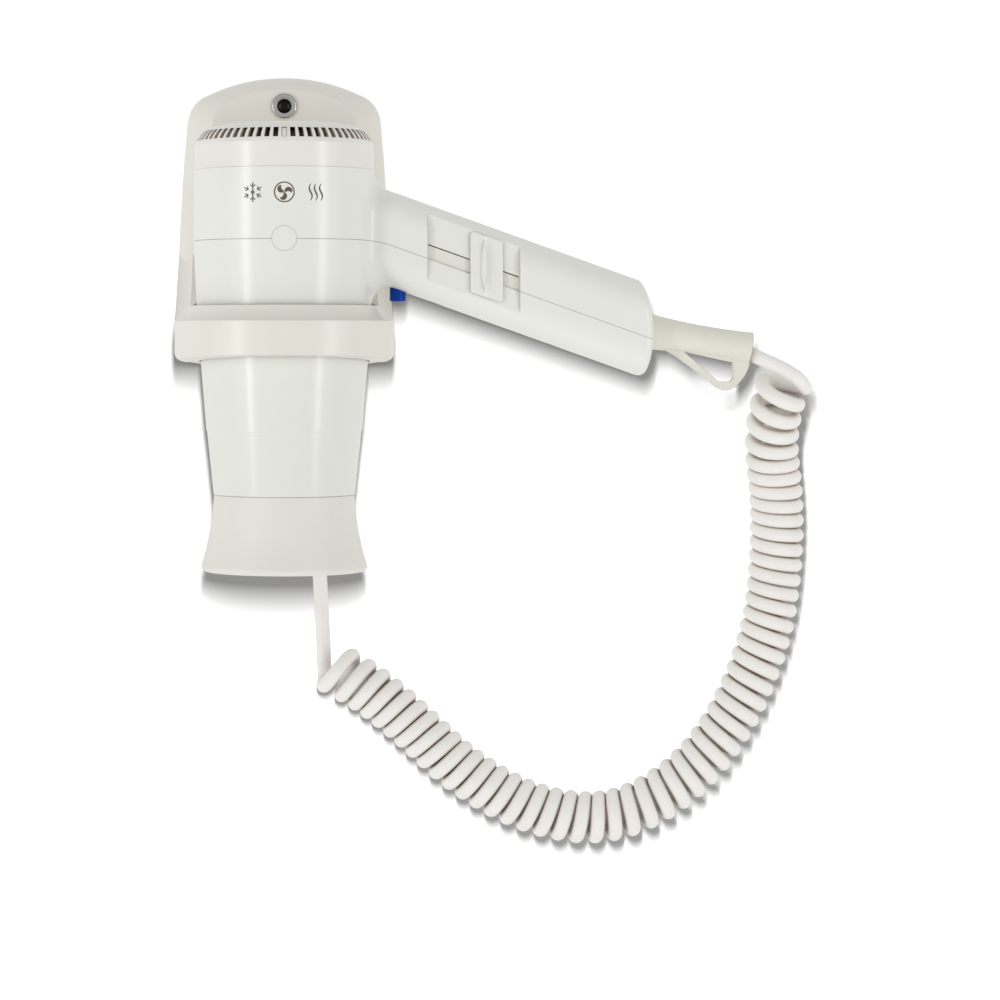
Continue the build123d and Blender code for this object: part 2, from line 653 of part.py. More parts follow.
def socket_hollow():
    """The room inside the socket's two back corners, open to the wall."""
    w = RING_HALF_WIDTH - WALL
    room = block(-w, w, AXIS_Y + 15, -1, RING_BOTTOM + WALL, 20)
    room = room - upright(0, AXIS_Y, RING_HOLE_R + WALL, -80, 60)
    flank = Pos(0, AXIS_Y, RING_CROWN + FLANK_R) * Rot(0, 90, 0) * Cylinder(FLANK_R + 9, 120)
    return room - flank


def holder_cover():
    bevel = ((8.3, 4.1, 1.6, 4.0), HOLDER_DEPTH - 2.2), ((11.4, 5.9, 2.4, 5.8), HOLDER_DEPTH)
    shell = tapered((0, 0, 0, 0), *bevel) + ring_socket()
    shell = shell - tapered((WALL,) * 4, ((12.2, 7.0, 4.0, 7.0), HOLDER_DEPTH - WALL))
    shell = shell - socket_hollow()
    cuts = [upright(0, AXIS_Y, RING_HOLE_R, LEDGE_Z, 60),
            upright(0, AXIS_Y, LEDGE_R, -80, 0),
            across(0, LOCK_Z, 4.6, -20, -5),
            upright(GLAND_X, GLAND_Y, 4.6, -72, -55)]
    return shell - cuts


def wall_plate():
    plate = extrude(at_depth(holder_outline(2.8, 2.8, 2.8, 2.8), 0), PLATE_THICKNESS)
    posts = [across(0, LOCK_Z, 4.5, -9, -1)]
    posts += [across(x, CLAMP_ROW, 2.8, CLAMP_FRONT, -1) for x in CLAMP_POSTS]
    plate = plate + posts
    holes = [across(x, z, WALL_HOLE_R, -5, 1) for x in (-WALL_HOLE_X, WALL_HOLE_X)
             for z in (WALL_HOLE_TOP, WALL_HOLE_LOW)]
    holes += [across(0, ENTRY_Z, ENTRY_R, -5, 1), across(0, LOCK_Z, 1.65, -12, 1)]
    holes += [across(x, CLAMP_ROW, 1.25, -12, -2) for x in CLAMP_POSTS]
    return plate - holes


def holder_clamp():
    clamp = block(GLAND_X - 11, GLAND_X + 11, CLAMP_FRONT - 1.2, CLAMP_FRONT,
                  CLAMP_ROW - 3, CLAMP_ROW + 3)
    return clamp - [across(x, CLAMP_ROW, 1.5, -14, -10) for x in CLAMP_POSTS]


def holder_clamp_screws():
    face = CLAMP_FRONT - 1.2
    return group(across(x, CLAMP_ROW, 2.4, face - 0.9, face) + across(x, CLAMP_ROW, 1.2, face, -5)
                 for x in CLAMP_POSTS)


def lock_bushing():
    """The bright ring round the fixing screw."""
    flange = across(0, LOCK_Z, 5.65, -HOLDER_DEPTH - 1.5, -HOLDER_DEPTH)
    flange = fillet(flange.edges().group_by(Axis.Y)[0], 0.7)
    sleeve = across(0, LOCK_Z, 4.5, -HOLDER_DEPTH - 0.5, -HOLDER_DEPTH + WALL)
    bore = across(0, LOCK_Z, 3.95, -20, -HOLDER_DEPTH + 0.6)
    return (flange + sleeve) - bore - across(0, LOCK_Z, 1.8, -20, -5)


def lock_screw():
    head = across(0, LOCK_Z, 3.3, -HOLDER_DEPTH - 1.4, -HOLDER_DEPTH + 0.6)
    ball = Pos(0, -HOLDER_DEPTH + 3.4, LOCK_Z) * Sphere(4.9)
    head = head & ball
    shank = across(0, LOCK_Z, 1.6, -HOLDER_DEPTH, -3.5)
    hexagon = front_prism(Pos(0, LOCK_Z) * RegularPolygon(1.5, 6), -20, -HOLDER_DEPTH - 0.4)
    return head + shank - hexagon


def terminal_block():
    body = block(-13, 13, -13.0, -PLATE_THICKNESS, -18, -4)
    screws = [across(x, -11, 2.0, -14, -9) for x in TERMINALS]
    ways = [upright(x, -6.2, 1.6, -20, 0) for x in TERMINALS]
    return body - screws - ways


def terminal_screws():
    return group(across(x, -11, 1.9, -11.6, -9) - block(x - 1.6, x + 1.6, -12, -11.0, -11.3, -10.7)
                 for x in TERMINALS)


def holder_gland():
    """The tapered gland that the cord leaves the holder through."""
    neck_top = GLAND_TOP - 1.4
    sleeve = [(0, -92), (4.0, -92), (5.4, -72), (6.2, -71), (6.2, -68.3), (4.5, -68.3),
              (4.5, neck_top), (4.9, neck_top), (4.9, GLAND_TOP), (0, GLAND_TOP)]
    profile = Plane.XZ * make_face(Polyline(*sleeve, close=True))
    return Pos(GLAND_X, GLAND_Y, 0) * revolve(profile, Axis.Z)


def cord_tail_holder():
    return upright(GLAND_X, GLAND_Y, CORD_D / 2, GLAND_TOP, -44)


def holder_wires():
    """The three conductors from the cord's end up into the terminal block."""
    wires = []
    for terminal, start in zip(TERMINALS, (-1.8, 0, 1.8)):
        points = [(GLAND_X + start, GLAND_Y, -43.9), (GLAND_X + start, GLAND_Y, -37),
                  (terminal + 0.6, -6.2, -27), (terminal, -6.2, -14)]
        wires.append(bent_tube(points, [5, 7], 1.7))
    return group(wires)


# ---- cord ----
def corner_radii(points):
    """For each corner, 0.45 of its shorter run divided by the tangent of half its turn."""
    radii = []
    for before, here, after in zip(points, points[1:], points[2:]):
        run_in, run_out = Vector(*here) - Vector(*before), Vector(*after) - Vector(*here)
        half_turn = radians(run_in.get_angle(run_out)) / 2
        radii.append(0.45 * min(run_in.length, run_out.length) / tan(half_turn))
    return radii


def cord_tube(name, points, diameter):
    radii = corner_radii(points)
    path = FilletPolyline(*points, radius=radii)
    shape = bent_tube(points, radii, diameter)
    expected = pi * diameter ** 2 / 4 * path.length
    print(name, "length", round(path.length, 1), "radii", [round(r, 1) for r in radii],
          "volume / (section x length)", round(shape.volume / expected, 4))
    return shape


# ---- write every sub-part ----
def main():
    whole, void = outer_housing(), housing_void()
    save("upper_shell", upper_shell(whole, void))
    save("lower_shell", lower_shell(whole, void))
    pieces = (seam_plug, housing_screws, intake_cap, filter_latch, intake_filter, filter_grille,
              motor_can, motor_end_cap, motor_bushes, motor_magnets, motor_armature,
              motor_windings, commutator, motor_brushes, motor_shaft, fan_impeller, fan_duct,
              rectifier_board, rectifier_diodes, barrel, nozzle, outlet_grille, heat_tube,
              heater_former, heater_coils, thermostat, thermal_fuse, switch_slider, slider_strip,
              switch_block, cool_button, cool_switch, button_spring, interference_capacitor,
              cord_clamp, clamp_screws, handle_wires, strain_relief, cord_tail_handle,
              holder_cover, wall_plate, holder_clamp, holder_clamp_screws, lock_bushing,
              lock_screw, terminal_block, terminal_screws, holder_gland, cord_tail_holder,
              holder_wires)
    for piece in pieces:
        save(piece.__name__, piece())
    save("cord_lead_wall", cord_tube("wall lead", WALL_LEAD, CORD_D))
    save("cord_coil", cord_tube("coil", COIL_ROUTE, COIL_D))
    save("cord_lead_handle", cord_tube("handle lead", HANDLE_LEAD, CORD_D))


main()
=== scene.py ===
import bpy
import bmesh
import json
import math
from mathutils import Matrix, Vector
from mathutils.bvhtree import BVHTree


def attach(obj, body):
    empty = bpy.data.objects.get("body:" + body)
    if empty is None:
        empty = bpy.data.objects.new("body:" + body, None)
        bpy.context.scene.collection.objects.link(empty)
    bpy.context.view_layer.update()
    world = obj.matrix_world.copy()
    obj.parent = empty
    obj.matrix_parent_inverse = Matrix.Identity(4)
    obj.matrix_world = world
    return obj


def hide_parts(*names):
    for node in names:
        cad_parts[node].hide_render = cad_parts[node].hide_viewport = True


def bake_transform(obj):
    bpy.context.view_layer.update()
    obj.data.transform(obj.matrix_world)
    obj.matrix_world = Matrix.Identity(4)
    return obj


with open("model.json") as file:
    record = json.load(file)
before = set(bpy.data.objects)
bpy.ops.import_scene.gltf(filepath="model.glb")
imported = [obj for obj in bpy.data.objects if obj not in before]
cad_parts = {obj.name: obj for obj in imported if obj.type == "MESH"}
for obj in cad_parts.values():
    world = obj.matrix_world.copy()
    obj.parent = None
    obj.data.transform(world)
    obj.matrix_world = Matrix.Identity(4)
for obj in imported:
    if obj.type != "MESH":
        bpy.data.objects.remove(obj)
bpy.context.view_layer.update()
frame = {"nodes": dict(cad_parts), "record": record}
nodes = frame["nodes"]
scene = bpy.context.scene

# ---- camera ----
CAMERA_PLACE = (0.0, -1.460, -0.057)
camera_data = bpy.data.cameras.new("camera")
camera_data.sensor_width = 36.0
camera_data.lens = 114.5
camera_data.shift_x = 0.2157
camera_data.shift_y = -0.155
camera = bpy.data.objects.new("camera", camera_data)
camera.location = CAMERA_PLACE
camera.rotation_euler = (math.radians(90), 0, 0)
scene.collection.objects.link(camera)
scene.camera = camera

# ---- the cord's route: the CAD's points in its millimetres, which metres() converts ----
MM = 0.001
CORD_DRAWN_R, CORD_SIDES = 3.22 * MM, 16
AXIS_STEPS, LINE_STEPS = 24, 2        # steps per control point on the coil's middle line and the cord

# The straight leads.  Nearest the coil they are drawn a few millimetres off the CAD's points.
WALL_LEAD = [(10.4, -8, -91), (13.2, -7.7, -119), (15.4, -7.9, -146), (16.6, -8.3, -170),
             (17.9, -8.2, -190), (18.1, -7.9, -200.5)]
HANDLE_LEAD = [(225.2, -64.6, -70.8), (215.6, -61.8, -65.6), (208.6, -60.4, -62.6), (203.2, -60, -60)]

# The coil's middle line.  The second to the ninth point came out of a separate fitting script,
# and the rest were set by hand.  COIL_LEAN carries the line on past the last turn.
COIL_ROUTE = [(217.9, -57.7, -79.3), (215.5, -47.5, -99.1), (219.9, -41.5, -126.2),
              (219.8, -37.5, -157.7), (215.6, -35.5, -188.7), (201.8, -33.5, -223.8),
              (180.1, -31.5, -252.8), (147.4, -29.5, -271.0), (112.6, -27.0, -267.4),
              (80.7, -24.0, -250.0), (57.0, -20.5, -227.6), (38.0, -18.3, -212.0),
              (26.0, -17.0, -205.5)]
COIL_LEAN = (221.3, -58.2, -71.0)

# The distance along that line, in millimetres from its wall end, at which each turn is reached.
# Turn 0 faces the front nearest the wall lead.  Most of these came out of a measuring script.
TURNS = [(-0.4, -5.8), (0, -1.9), (0.5, 3.1), (1.5, 11.0), (4.5, 32.2), (8.5, 59.8), (12.5, 87.8),
         (16.5, 116.8), (20.5, 146.6), (23.5, 170.0), (28.5, 207.4), (33.5, 243.4), (37.5, 270.8),
         (42.5, 303.8), (47.5, 335.6), (48.5, 343.4), (49.5, 352.4), (50.5, 360.2), (51.5, 369.0),
         (52.0, 373.8)]
# The radius of the turns at a distance along the line.
COIL_RADIUS = [(-6, 9.2), (10, 8.9), (40, 8.55), (240, 8.55), (300, 8.8), (362, 8.75), (372, 9.3)]
FIRST_TURN, LAST_TURN, POINTS_PER_TURN = -0.39, 51.8, 16


def metres(points):
    return [Vector(p) * MM for p in points]


def nurbs(name, points, resolution):
    """A curve object of one open NURBS spline with these control points."""
    data = bpy.data.curves.new(name, "CURVE")
    data.dimensions = "3D"
    data.resolution_u = resolution
    spline = data.splines.new("NURBS")
    spline.points.add(len(points) - 1)
    for point, place in zip(spline.points, points):
        point.co = (*place, 1.0)
    spline.order_u = 3
    spline.use_endpoint_u = True
    curve = bpy.data.objects.new(name, data)
    scene.collection.objects.link(curve)
    return curve


def line_of(curve):
    """The points that a curve with no bevel passes through."""
    mesh = bpy.data.meshes.new_from_object(curve)
    points = [v.co.copy() for v in mesh.vertices]
    bpy.data.meshes.remove(mesh)
    return points


def drop(curve):
    data = curve.data
    bpy.data.objects.remove(curve)
    bpy.data.curves.remove(data)


def lengths_along(points):
    total, out = 0.0, [0.0]
    for a, b in zip(points, points[1:]):
        total += (b - a).length
        out.append(total)
    return out


def at_length(points, lengths, s):
    """Place and direction at a distance along a line, going straight on past its ends."""
    i = 0
    while i < len(points) - 2 and lengths[i + 1] < s:
        i += 1
    direction = (points[i + 1] - points[i]).normalized()
    return points[i] + direction * (s - lengths[i]), direction


def between(table, s):
    """A value from a table of (place, value), in straight steps."""
    for (s0, v0), (s1, v1) in zip(table, table[1:]):
        if s <= s1:
            return v0 + (v1 - v0) * max(0.0, (s - s0) / (s1 - s0))
    return table[-1][1]


def coil_points():
    """The turns as control points, from the wall end up; the radius allows for their corners."""
    route = nurbs("coil_axis", metres([*reversed(COIL_ROUTE), COIL_LEAN]), AXIS_STEPS)
    axis = line_of(route)
    drop(route)
    lengths = lengths_along(axis)
    shrink = math.cos(math.pi / POINTS_PER_TURN)
    out = []
    for k in range(round((LAST_TURN - FIRST_TURN) * POINTS_PER_TURN) + 1):
        turn = FIRST_TURN + k / POINTS_PER_TURN
        s = between(TURNS, turn)
        phase = -2 * math.pi * turn
        centre, along = at_length(axis, lengths, s * MM)
        front = Vector((0, -1, 0))
        front = (front - along * front.dot(along)).normalized()
        side = along.cross(front)
        reach = between(COIL_RADIUS, s) * MM / shrink
        out.append(centre + (front * math.cos(phase) + side * math.sin(phase)) * reach)
    return out


def tube(name, path, radius, sides):
    """A round tube round a line of points, with closed ends."""
    mesh = bmesh.new()
    across = Vector((1, 0, 0))
    rings = []
    for i, place in enumerate(path):
        ahead = path[min(i + 1, len(path) - 1)] - path[max(i - 1, 0)]
        ahead.normalize()
        across = (across - ahead * across.dot(ahead)).normalized()
        other = ahead.cross(across)
        turn = [2 * math.pi * k / sides for k in range(sides)]
        rings.append([mesh.verts.new(place + (across * math.cos(a) + other * math.sin(a)) * radius)
                      for a in turn])
    for near, far in zip(rings, rings[1:]):
        for k in range(sides):
            mesh.faces.new((near[k], near[(k + 1) % sides], far[(k + 1) % sides], far[k]))
    mesh.faces.new(reversed(rings[0]))
    mesh.faces.new(rings[-1])
    return finished(mesh, name, smooth=True)


def finished(mesh, name, smooth):
    data = bpy.data.meshes.new(name)
    mesh.to_mesh(data)
    mesh.free()
    if smooth:
        data.polygons.foreach_set("use_smooth", [True] * len(data.polygons))
    obj = bpy.data.objects.new(name, data)
    scene.collection.objects.link(obj)
    return obj


def build_cord():
    curve = nurbs("cord_line", metres(WALL_LEAD) + coil_points() + metres(HANDLE_LEAD), LINE_STEPS)
    path = line_of(curve)
    drop(curve)
    cord = tube("cord", path, CORD_DRAWN_R, CORD_SIDES)
    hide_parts("cord_lead_wall", "cord_coil", "cord_lead_handle")
    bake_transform(cord)
    return cord


cord = build_cord()


# ---- materials ----
def srgb(text):
    """Linear colour from a hexadecimal one."""
    values = [int(text[i:i + 2], 16) / 255 for i in (0, 2, 4)]
    return [v / 12.92 if v <= 0.04045 else ((v + 0.055) / 1.055) ** 2.4 for v in values]


class Material:
    """A node material with one Principled shader, built up a step at a time."""

    def __init__(self, name, roughness=0.4, metallic=0.0, specular=0.5, **sockets):
        self.material = bpy.data.materials.new(name)
        self.material.use_nodes = True
        self.tree = self.material.node_tree
        self.shader = self.tree.nodes["Principled BSDF"]
        self.shader.inputs["Roughness"].default_value = roughness
        self.shader.inputs["Metallic"].default_value = metallic
        self.shader.inputs["Specular IOR Level"].default_value = specular
        for socket, value in sockets.items():
            self.shader.inputs[socket.replace("_", " ")].default_value = value
        self.place = self.add("ShaderNodeTexCoord").outputs["Object"]
        self.normal = None

    def add(self, kind, **values):
        node = self.tree.nodes.new(kind)
        for key, value in values.items():
            setattr(node, key, value)
        return node

    def link(self, out, into):
        self.tree.links.new(out, into)

    def noise(self, scale, detail=3.0, roughness=0.55, stretch=(1, 1, 1)):
        where = self.place
        if stretch != (1, 1, 1):
            mapping = self.add("ShaderNodeMapping")
            mapping.inputs["Scale"].default_value = stretch
            self.link(self.place, mapping.inputs["Vector"])
            where = mapping.outputs["Vector"]
        node = self.add("ShaderNodeTexNoise")
        node.inputs["Scale"].default_value = scale
        node.inputs["Detail"].default_value = detail
        node.inputs["Roughness"].default_value = roughness
        self.link(where, node.inputs["Vector"])
        return node.outputs["Fac"]

    def colour(self, fac, stops, crevice_shade=None, reach=0.006):
        """Base colour from a noise, with painted shade within a reach of other surfaces if a shade tone is
        given.
        """
        ramp = self.add("ShaderNodeValToRGB")
        elements = ramp.color_ramp.elements
        while len(elements) < len(stops):
            elements.new(0.5)
        for element, (at, value) in zip(elements, stops):
            element.position = at
            element.color = (*value, 1)
        self.link(fac, ramp.inputs["Fac"])
        shown = ramp.outputs["Color"]
        if crevice_shade:
            shown = self.painted_crevice_shade(shown, crevice_shade, reach)
        self.link(shown, self.shader.inputs["Base Color"])

    def painted_crevice_shade(self, shown, crevice_shade, reach):
        """Painted shade: a darker tone where other surfaces stand close by, where shade would fall."""
        # Painted shade: the occlusion amount blends the colour toward the darker tone.
        open_air = self.add("ShaderNodeAmbientOcclusion", samples=6)
        open_air.inputs["Distance"].default_value = reach
        span = self.add("ShaderNodeMapRange")
        span.inputs["From Min"].default_value = 0.15
        span.inputs["From Max"].default_value = 0.75
        self.link(open_air.outputs["AO"], span.inputs["Value"])
        mix = self.add("ShaderNodeMix", data_type="RGBA")
        mix.inputs["A"].default_value = (*srgb(crevice_shade), 1)
        self.link(span.outputs["Result"], mix.inputs["Factor"])
        self.link(shown, mix.inputs["B"])
        return mix.outputs["Result"]

    def rough(self, fac, low, high):
        span = self.add("ShaderNodeMapRange")
        span.inputs["To Min"].default_value = low
        span.inputs["To Max"].default_value = high
        self.link(fac, span.inputs["Value"])
        self.link(span.outputs["Result"], self.shader.inputs["Roughness"])

    def round_edges(self, radius):
        node = self.add("ShaderNodeBevel", samples=4)
        node.inputs["Radius"].default_value = radius
        self.normal = node.outputs["Normal"]
        self.link(self.normal, self.shader.inputs["Normal"])

    def bump(self, fac, strength, distance):
        node = self.add("ShaderNodeBump")
        node.inputs["Strength"].default_value = strength
        node.inputs["Distance"].default_value = distance
        self.link(fac, node.inputs["Height"])
        if self.normal is not None:
            self.link(self.normal, node.inputs["Normal"])
        self.normal = node.outputs["Normal"]
        self.link(self.normal, self.shader.inputs["Normal"])


def toned(base, amount):
    return [min(1.0, v * amount) for v in base]


def plastic(name, colour, roughness, grain=0.25, edge=0.0004, spread=0.02, specular=0.5,
            gloss=0.09, crevice_shade=None, **sockets):
    """Moulded plastic: a fine spark-eroded grain, faint flow marks and slightly uneven gloss.

    A gloss that strays across a roughness of about 0.27 renders blotchy, so it stays on one side.
    """
    base = srgb(colour)
    made = Material(name, roughness=roughness, specular=specular, **sockets)
    # With a shade tone given, the colour gets painted shade where other surfaces stand close by.
    made.colour(made.noise(38, 4), [(0.3, toned(base, 1 - spread)), (0.7, toned(base, 1 + spread))],
                crevice_shade=crevice_shade, reach=0.004)
    made.rough(made.noise(210, 3), roughness - gloss * 0.45, roughness + gloss * 0.55)
    if edge:
        made.round_edges(edge)
    made.bump(made.noise(2600, 2), grain, 0.00004)
    return made.material


def metal(name, colour, roughness, stretch=(1, 1, 14), edge=0.0002, depth=0.15):
    """Turned or drawn metal with fine lines across it and a little tarnish."""
    base = srgb(colour)
    made = Material(name, roughness=roughness, metallic=1.0)
    made.colour(made.noise(60, 5), [(0.3, toned(base, 0.9)), (0.7, toned(base, 1.06))])
    lines = made.noise(700, 3, stretch=stretch)
    made.rough(lines, max(0.04, roughness - 0.06), roughness + 0.08)
    made.round_edges(edge)
    made.bump(lines, depth, 0.00002)
    return made.material


def foam(name, dark, light):
    made = Material(name, roughness=0.95, specular=0.1)
    cells = made.add("ShaderNodeTexVoronoi")
    cells.inputs["Scale"].default_value = 1300
    made.link(made.place, cells.inputs["Vector"])
    made.colour(cells.outputs["Distance"], [(0.1, srgb(dark)), (0.8, srgb(light))])
    made.bump(cells.outputs["Distance"], 0.9, 0.0006)
    return made.material


def layered(name, dark, light, stretch, scale=900):
    """Stacked sheet or wound wire: stripes across one direction."""
    made = Material(name, roughness=0.45, metallic=0.6)
    stripes = made.noise(scale, 2, stretch=stretch)
    made.colour(stripes, [(0.42, srgb(dark)), (0.58, srgb(light))])
    made.bump(stripes, 0.6, 0.0002)
    return made.material


def sheath(name, colour, roughness=0.5):
    """Soft cord sheath: faintly dusty, with fine draw marks, a soft glow and painted shade between turns.
    """
    base = srgb(colour)
    made = Material(name, roughness=roughness, specular=0.4, Sheen_Weight=0.12)
    made.shader.inputs["Sheen Roughness"].default_value = 0.5
    tones = [(0.25, toned(base, 0.955)), (0.6, base), (0.8, toned(base, 1.02))]
    # b3a294 is painted shade between the turns, where other surfaces stand close by.
    made.colour(made.noise(120, 5, 0.7), tones, crevice_shade="b3a294")
    made.rough(made.noise(500, 3), roughness - 0.06, roughness + 0.08)
    made.bump(made.noise(1900, 3), 0.25, 0.00006)
    return made.material


# The darker tones given to housing, cap and holder below are painted shade where other surfaces stand
# close by.
LOOKS = {
    "housing_white": plastic("housing", "eaebe4", 0.25, 0.02, edge=0, spread=0.008, gloss=0.03,
                             crevice_shade="b3a78f"),
    "cap_white": plastic("cap", "eae8e1", 0.25, 0.02, spread=0.008, gloss=0.03, crevice_shade="a8957c"),
    "holder_white": plastic("holder", "e8e6dc", 0.30, 0.04, edge=0.0006, spread=0.01, gloss=0.03,
                            crevice_shade="a3937c"),
    "nozzle_white": plastic("nozzle", "e5e4dc", 0.5, 0.35, edge=0.0005),
    "barrel_white": plastic("barrel", "e6e7df", 0.22, 0.02, edge=0, spread=0.008),
    "strip_cream": plastic("strip", "e7e7dd", 0.45, 0.2),
    "blue_button": plastic("button_blue", "013a9a", 0.22, 0.05, spread=0.05, specular=0.12),
    "soft_cream": plastic("soft_cream", "e3e2d6", 0.52, 0.3, edge=0.0006, specular=0.4,
                          Sheen_Weight=0.08),
    "cord_white": sheath("cord_sheath", "f4f1ec"),
    "wire_red": sheath("wire_sheath", "a33022", 0.4),
    "bright_chrome": metal("chrome", "bcbcb7", 0.10, depth=0.05),
    "dark_screw": metal("dark_steel", "2a2623", 0.28, depth=0.1),
    "zinc_steel": metal("zinc", "b9b9b4", 0.34),
    "motor_steel": metal("motor_steel", "a2a29f", 0.3),
    "magnet_dark": plastic("ferrite", "2b2b2d", 0.6, 0.5),
    "core_steel": layered("laminations", "4a4744", "807a74", (1, 1, 9)),
    "copper": layered("windings", "8e4a24", "d98d56", (1, 9, 1), 700),
    "brass": metal("brass", "c9a35c", 0.3),
    "bronze": metal("bronze", "9c7647", 0.45),
    "fan_black": plastic("fan", "1c1c1f", 0.35, 0.2),
    "duct_grey": plastic("duct", "6b6b6a", 0.5, 0.3),
    "black_part": plastic("black_part", "141416", 0.42, 0.3),
    "filter_grey": foam("filter_foam", "2c2119", "76614c"),
    "grille_dark": plastic("grille", "3b3530", 0.5, 0.3),
    "mica": plastic("mica", "cfc4a4", 0.55, 0.6, spread=0.14),
    "heater_wire": metal("heater_wire", "8f857b", 0.4),
    "board_green": plastic("board", "2a6236", 0.4, 0.3, spread=0.1),
    "capacitor_yellow": plastic("capacitor", "d9a92b", 0.35, 0.1),
    "terminal_cream": plastic("terminal", "dfdccd", 0.45, 0.2),
}

for entry in frame["record"]["subparts"]:
    node = nodes[entry["node"]]
    node.data.materials.clear()
    node.data.materials.append(LOOKS[entry["material_slot"]])
cord.data.materials.append(LOOKS["cord_white"])


# ---- printed pictograms on the upper shell ----
INK_LIFT = 0.00004
ICON_Z, ICON_SIZE, ICON_STEP = 0.0085, 0.0042, 0.0135


def surface_of(node):
    mesh = nodes[node].data
    return BVHTree.FromPolygons([v.co for v in mesh.vertices], [p.vertices for p in mesh.polygons])


def printed(name, strokes, surface, look):
    """Flat shapes in (x, z) laid on a surface that faces the front."""
    mesh = bmesh.new()
    for stroke in strokes:
        row = []
        for x, z in stroke:
            hit, normal, _, _ = surface.ray_cast(Vector((x, -0.3, z)), Vector((0, 1, 0)))
            row.append(mesh.verts.new(hit + normal * INK_LIFT))
        half = len(row) // 2
        for i in range(half - 1):
            mesh.faces.new((row[i], row[i + 1], row[-2 - i], row[-1 - i]))
    obj = finished(mesh, name, smooth=False)
    obj.data.materials.append(look)
    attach(obj, "dryer")
    return obj


def ribbon(line, width):
    """The outline of a line drawn with a width that can change, out along one side and back."""
    left, right = [], []
    for i, (x, z) in enumerate(line):
        x0, z0 = line[max(i - 1, 0)]
        x1, z1 = line[min(i + 1, len(line) - 1)]
        reach = math.hypot(x1 - x0, z1 - z0)
        w = width(i / (len(line) - 1)) / 2
        nx, nz = -(z1 - z0) / reach * w, (x1 - x0) / reach * w
        left.append((x + nx, z + nz))
        right.append((x - nx, z - nz))
    return left + right[::-1]


def arc(x, z, radius, start, stop, steps=24):
    turn = [math.radians(start + (stop - start) * i / steps) for i in range(steps + 1)]
    return [(x + radius * math.cos(a), z + radius * math.sin(a)) for a in turn]


def fan_icon(x, z, size):
    strokes = [ribbon(arc(x, z, size, 0, 360, 48), lambda t: size * 0.13)]
    for k in range(3):
        turn = 90 + 120 * k
        middle = math.radians(turn + 28)
        cx, cz = x + size * 0.42 * math.cos(middle), z + size * 0.42 * math.sin(middle)
        blade = arc(cx, cz, size * 0.30, turn + 215, turn + 20, 16)
        strokes.append(ribbon(blade, lambda t: size * 0.46 * math.sin(math.pi * (0.06 + 0.88 * t))))
    return strokes


def warm_icon(x, z, size):
    strokes = []
    for k in (-1, 0, 1):
        line = [(x + k * size * 0.62 + size * 0.17 * math.sin(2 * math.pi * t / 18),
                 z + size * (t / 9 - 1)) for t in range(19)]
        strokes.append(ribbon(line, lambda t: size * 0.16 * (0.45 + 0.8 * math.sin(math.pi * t))))
    return strokes


def cool_icon(x, z, size):
    strokes = []
    for k in range(6):
        a = math.radians(90 + 60 * k)
        tip = (x + size * math.cos(a), z + size * math.sin(a))
        strokes.append(ribbon([(x, z), tip], lambda t: size * 0.12))
        for turn in (-50, 50):
            b = a + math.radians(turn)
            root = (x + size * 0.55 * math.cos(a), z + size * 0.55 * math.sin(a))
            strokes.append(ribbon([root, (root[0] + size * 0.34 * math.cos(b),
                                          root[1] + size * 0.34 * math.sin(b))],
                                  lambda t: size * 0.10))
    return strokes


ink = plastic("ink", "5d5443", 0.6, 0.1, edge=0)
shell_face = surface_of("upper_shell")
printed("fan_pictogram", fan_icon(0, ICON_Z, ICON_SIZE), shell_face, ink)
printed("warm_pictogram", warm_icon(ICON_STEP, ICON_Z, ICON_SIZE * 0.85), shell_face, ink)
printed("cool_pictogram", cool_icon(-ICON_STEP, ICON_Z, ICON_SIZE), shell_face, ink)

# ---- wall and light ----
OBJECT_MIDDLE = (0.02, -0.03, -0.06)
WALL_SIZE, WALL_BEHIND = 4.0, 0.0006
WALL_LIGHT_PLACE = (0.006, -1.1, 0.060)
WALL_NEAR, WALL_FAR = 0.05, 0.50      # distances from the point that the wall light stands before
PAINT_NEAR, PAINT_FAR = 0.30, 0.53    # the wall's paint there, lighter where the light is weaker
WALL_BOUNCE = 0.80


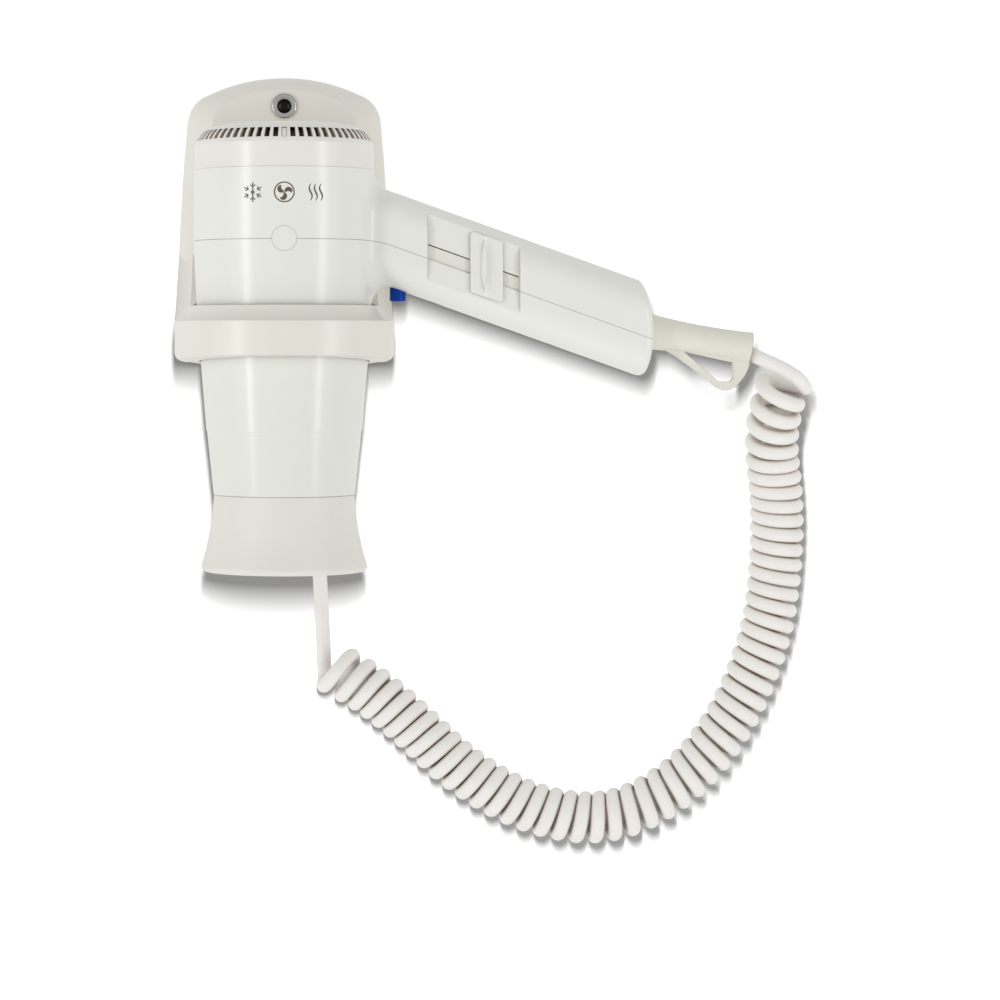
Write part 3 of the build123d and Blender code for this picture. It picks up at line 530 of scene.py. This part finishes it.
def wall_material():
    """White to the eye, evenly bright to the object, and clear to shadows and from behind."""
    material = bpy.data.materials.new("wall_paint")
    material.use_nodes = True
    material.cycles.emission_sampling = "NONE"
    tree = material.node_tree
    shader = tree.nodes["Principled BSDF"]
    where = tree.nodes.new("ShaderNodeTexCoord")
    away = tree.nodes.new("ShaderNodeVectorMath")
    away.operation = "DISTANCE"
    away.inputs[1].default_value = (WALL_LIGHT_PLACE[0], 0, WALL_LIGHT_PLACE[2])
    even = tree.nodes.new("ShaderNodeMapRange")
    even.inputs["From Min"].default_value = WALL_NEAR
    even.inputs["From Max"].default_value = WALL_FAR
    even.inputs["To Min"].default_value = PAINT_NEAR
    even.inputs["To Max"].default_value = PAINT_FAR
    tree.links.new(where.outputs["Object"], away.inputs[0])
    tree.links.new(away.outputs["Value"], even.inputs["Value"])
    tree.links.new(even.outputs["Result"], shader.inputs["Base Color"])
    shader.inputs["Roughness"].default_value = 1.0
    shader.inputs["Specular IOR Level"].default_value = 0.0
    bounce = tree.nodes.new("ShaderNodeEmission")
    bounce.inputs["Strength"].default_value = WALL_BOUNCE
    clear = tree.nodes.new("ShaderNodeBsdfTransparent")
    seen = tree.nodes.new("ShaderNodeMixShader")
    mix = tree.nodes.new("ShaderNodeMixShader")
    either = tree.nodes.new("ShaderNodeMath")
    either.operation = "MAXIMUM"
    ray = tree.nodes.new("ShaderNodeLightPath")
    side = tree.nodes.new("ShaderNodeNewGeometry")
    tree.links.new(ray.outputs["Is Camera Ray"], seen.inputs["Fac"])
    tree.links.new(bounce.outputs["Emission"], seen.inputs[1])
    tree.links.new(shader.outputs["BSDF"], seen.inputs[2])
    tree.links.new(ray.outputs["Is Shadow Ray"], either.inputs[0])
    tree.links.new(side.outputs["Backfacing"], either.inputs[1])
    tree.links.new(either.outputs["Value"], mix.inputs["Fac"])
    tree.links.new(seen.outputs["Shader"], mix.inputs[1])
    tree.links.new(clear.outputs["BSDF"], mix.inputs[2])
    tree.links.new(mix.outputs["Shader"], tree.nodes["Material Output"].inputs["Surface"])
    return material


def backdrop():
    mesh = bmesh.new()
    corners = [(-1, -1), (1, -1), (1, 1), (-1, 1)]
    mesh.faces.new([mesh.verts.new((x * WALL_SIZE, WALL_BEHIND, z * WALL_SIZE)) for x, z in corners])
    board = finished(mesh, "wall_backdrop", smooth=False)
    board.data.materials.append(wall_material())
    return board


def softbox(name, place, aim, width, height, power, on_wall=False):
    """An area light that lights either only the wall or only the object."""
    data = bpy.data.lights.new(name, "AREA")
    data.shape = "RECTANGLE"
    data.size, data.size_y = width, height
    data.energy = power
    light = bpy.data.objects.new(name, data)
    light.location = place
    light.rotation_mode = "QUATERNION"
    light.rotation_quaternion = (Vector(aim) - Vector(place)).to_track_quat("-Z", "Y")
    light.visible_camera = False
    scene.collection.objects.link(light)
    receivers = bpy.data.collections.new(name + "_receivers")
    receivers.objects.link(wall)
    light.light_linking.receiver_collection = receivers
    if not on_wall:
        receivers.collection_objects[0].light_linking.link_state = "EXCLUDE"


def studio(level, lean, seen):
    """Even light round the object, leaning toward one direction, and a plain colour to the eye."""
    world = bpy.data.worlds.new("studio")
    world.use_nodes = True
    tree = world.node_tree
    around = tree.nodes["Background"]
    plain = tree.nodes.new("ShaderNodeBackground")
    plain.inputs["Color"].default_value = (1, 1, 1, 1)
    plain.inputs["Strength"].default_value = seen
    around.inputs["Color"].default_value = (1, 1, 1, 1)
    where = tree.nodes.new("ShaderNodeTexCoord")
    toward = tree.nodes.new("ShaderNodeVectorMath")
    toward.operation = "DOT_PRODUCT"
    toward.inputs[1].default_value = lean
    total = tree.nodes.new("ShaderNodeMath")
    total.inputs[1].default_value = level
    ray = tree.nodes.new("ShaderNodeLightPath")
    mix = tree.nodes.new("ShaderNodeMixShader")
    tree.links.new(where.outputs["Generated"], toward.inputs[0])
    tree.links.new(toward.outputs["Value"], total.inputs[0])
    tree.links.new(total.outputs["Value"], around.inputs["Strength"])
    tree.links.new(ray.outputs["Is Camera Ray"], mix.inputs["Fac"])
    tree.links.new(around.outputs["Background"], mix.inputs[1])
    tree.links.new(plain.outputs["Background"], mix.inputs[2])
    tree.links.new(mix.outputs["Shader"], tree.nodes["World Output"].inputs["Surface"])
    return world


wall = backdrop()
softbox("softbox_left", (-1.15, -1.05, 0.02), OBJECT_MIDDLE, 0.18, 0.9, 4.2)
softbox("softbox_right", (1.15, -1.05, 0.02), OBJECT_MIDDLE, 0.18, 0.9, 3.4)
softbox("side_left", (-1.45, -0.70, 0.02), OBJECT_MIDDLE, 0.5, 0.9, 0.9)
softbox("side_right", (1.45, -0.70, 0.02), OBJECT_MIDDLE, 0.5, 0.9, 0.7)
softbox("wall_light", WALL_LIGHT_PLACE, (0.05, 0, -0.05), 0.035, 0.20, 34.0, on_wall=True)
scene.world = studio(0.71, (-0.04, 0, -0.29), 1.0)
scene.view_settings.view_transform = "Standard"
scene.view_settings.look = "None"
